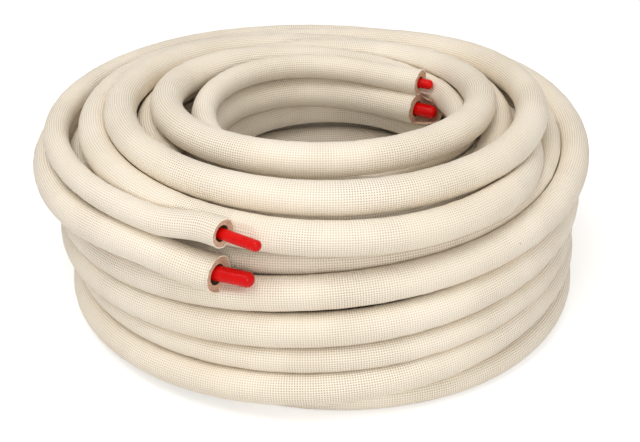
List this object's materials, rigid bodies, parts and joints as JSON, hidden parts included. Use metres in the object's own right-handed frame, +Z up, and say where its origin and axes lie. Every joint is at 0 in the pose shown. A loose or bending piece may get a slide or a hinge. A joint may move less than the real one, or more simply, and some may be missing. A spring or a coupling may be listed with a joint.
{
  "type": "insulated twin copper tube coil",
  "caption": "Coil of paired copper tubes in white foam sleeves, lying flat, with the free tube ends closed by red push-on caps.",
  "frame": {"origin": "on the floor, at the middle of the coil", "axes": "+Z up along the coil's axis; the outer tube ends point towards -Y and +X"},
  "size_m": [0.4764, 0.475, 0.1937],
  "materials": {
    "foam_skin": "embossed white film on foam",
    "copper": "drawn soft copper",
    "cap": "glossy soft plastic"
  },
  "bodies": {
    "root": {"wound_turns": "foam_skin", "outer_large_sleeve": "foam_skin", "outer_large_copper": "copper", "outer_large_cap": "cap", "outer_small_sleeve": "foam_skin", "outer_small_copper": "copper", "outer_small_cap": "cap", "inner_large_sleeve": "foam_skin", "inner_large_copper": "copper", "inner_large_cap": "cap", "inner_small_sleeve": "foam_skin", "inner_small_copper": "copper", "inner_small_cap": "cap"}
  },
  "joints": []
}
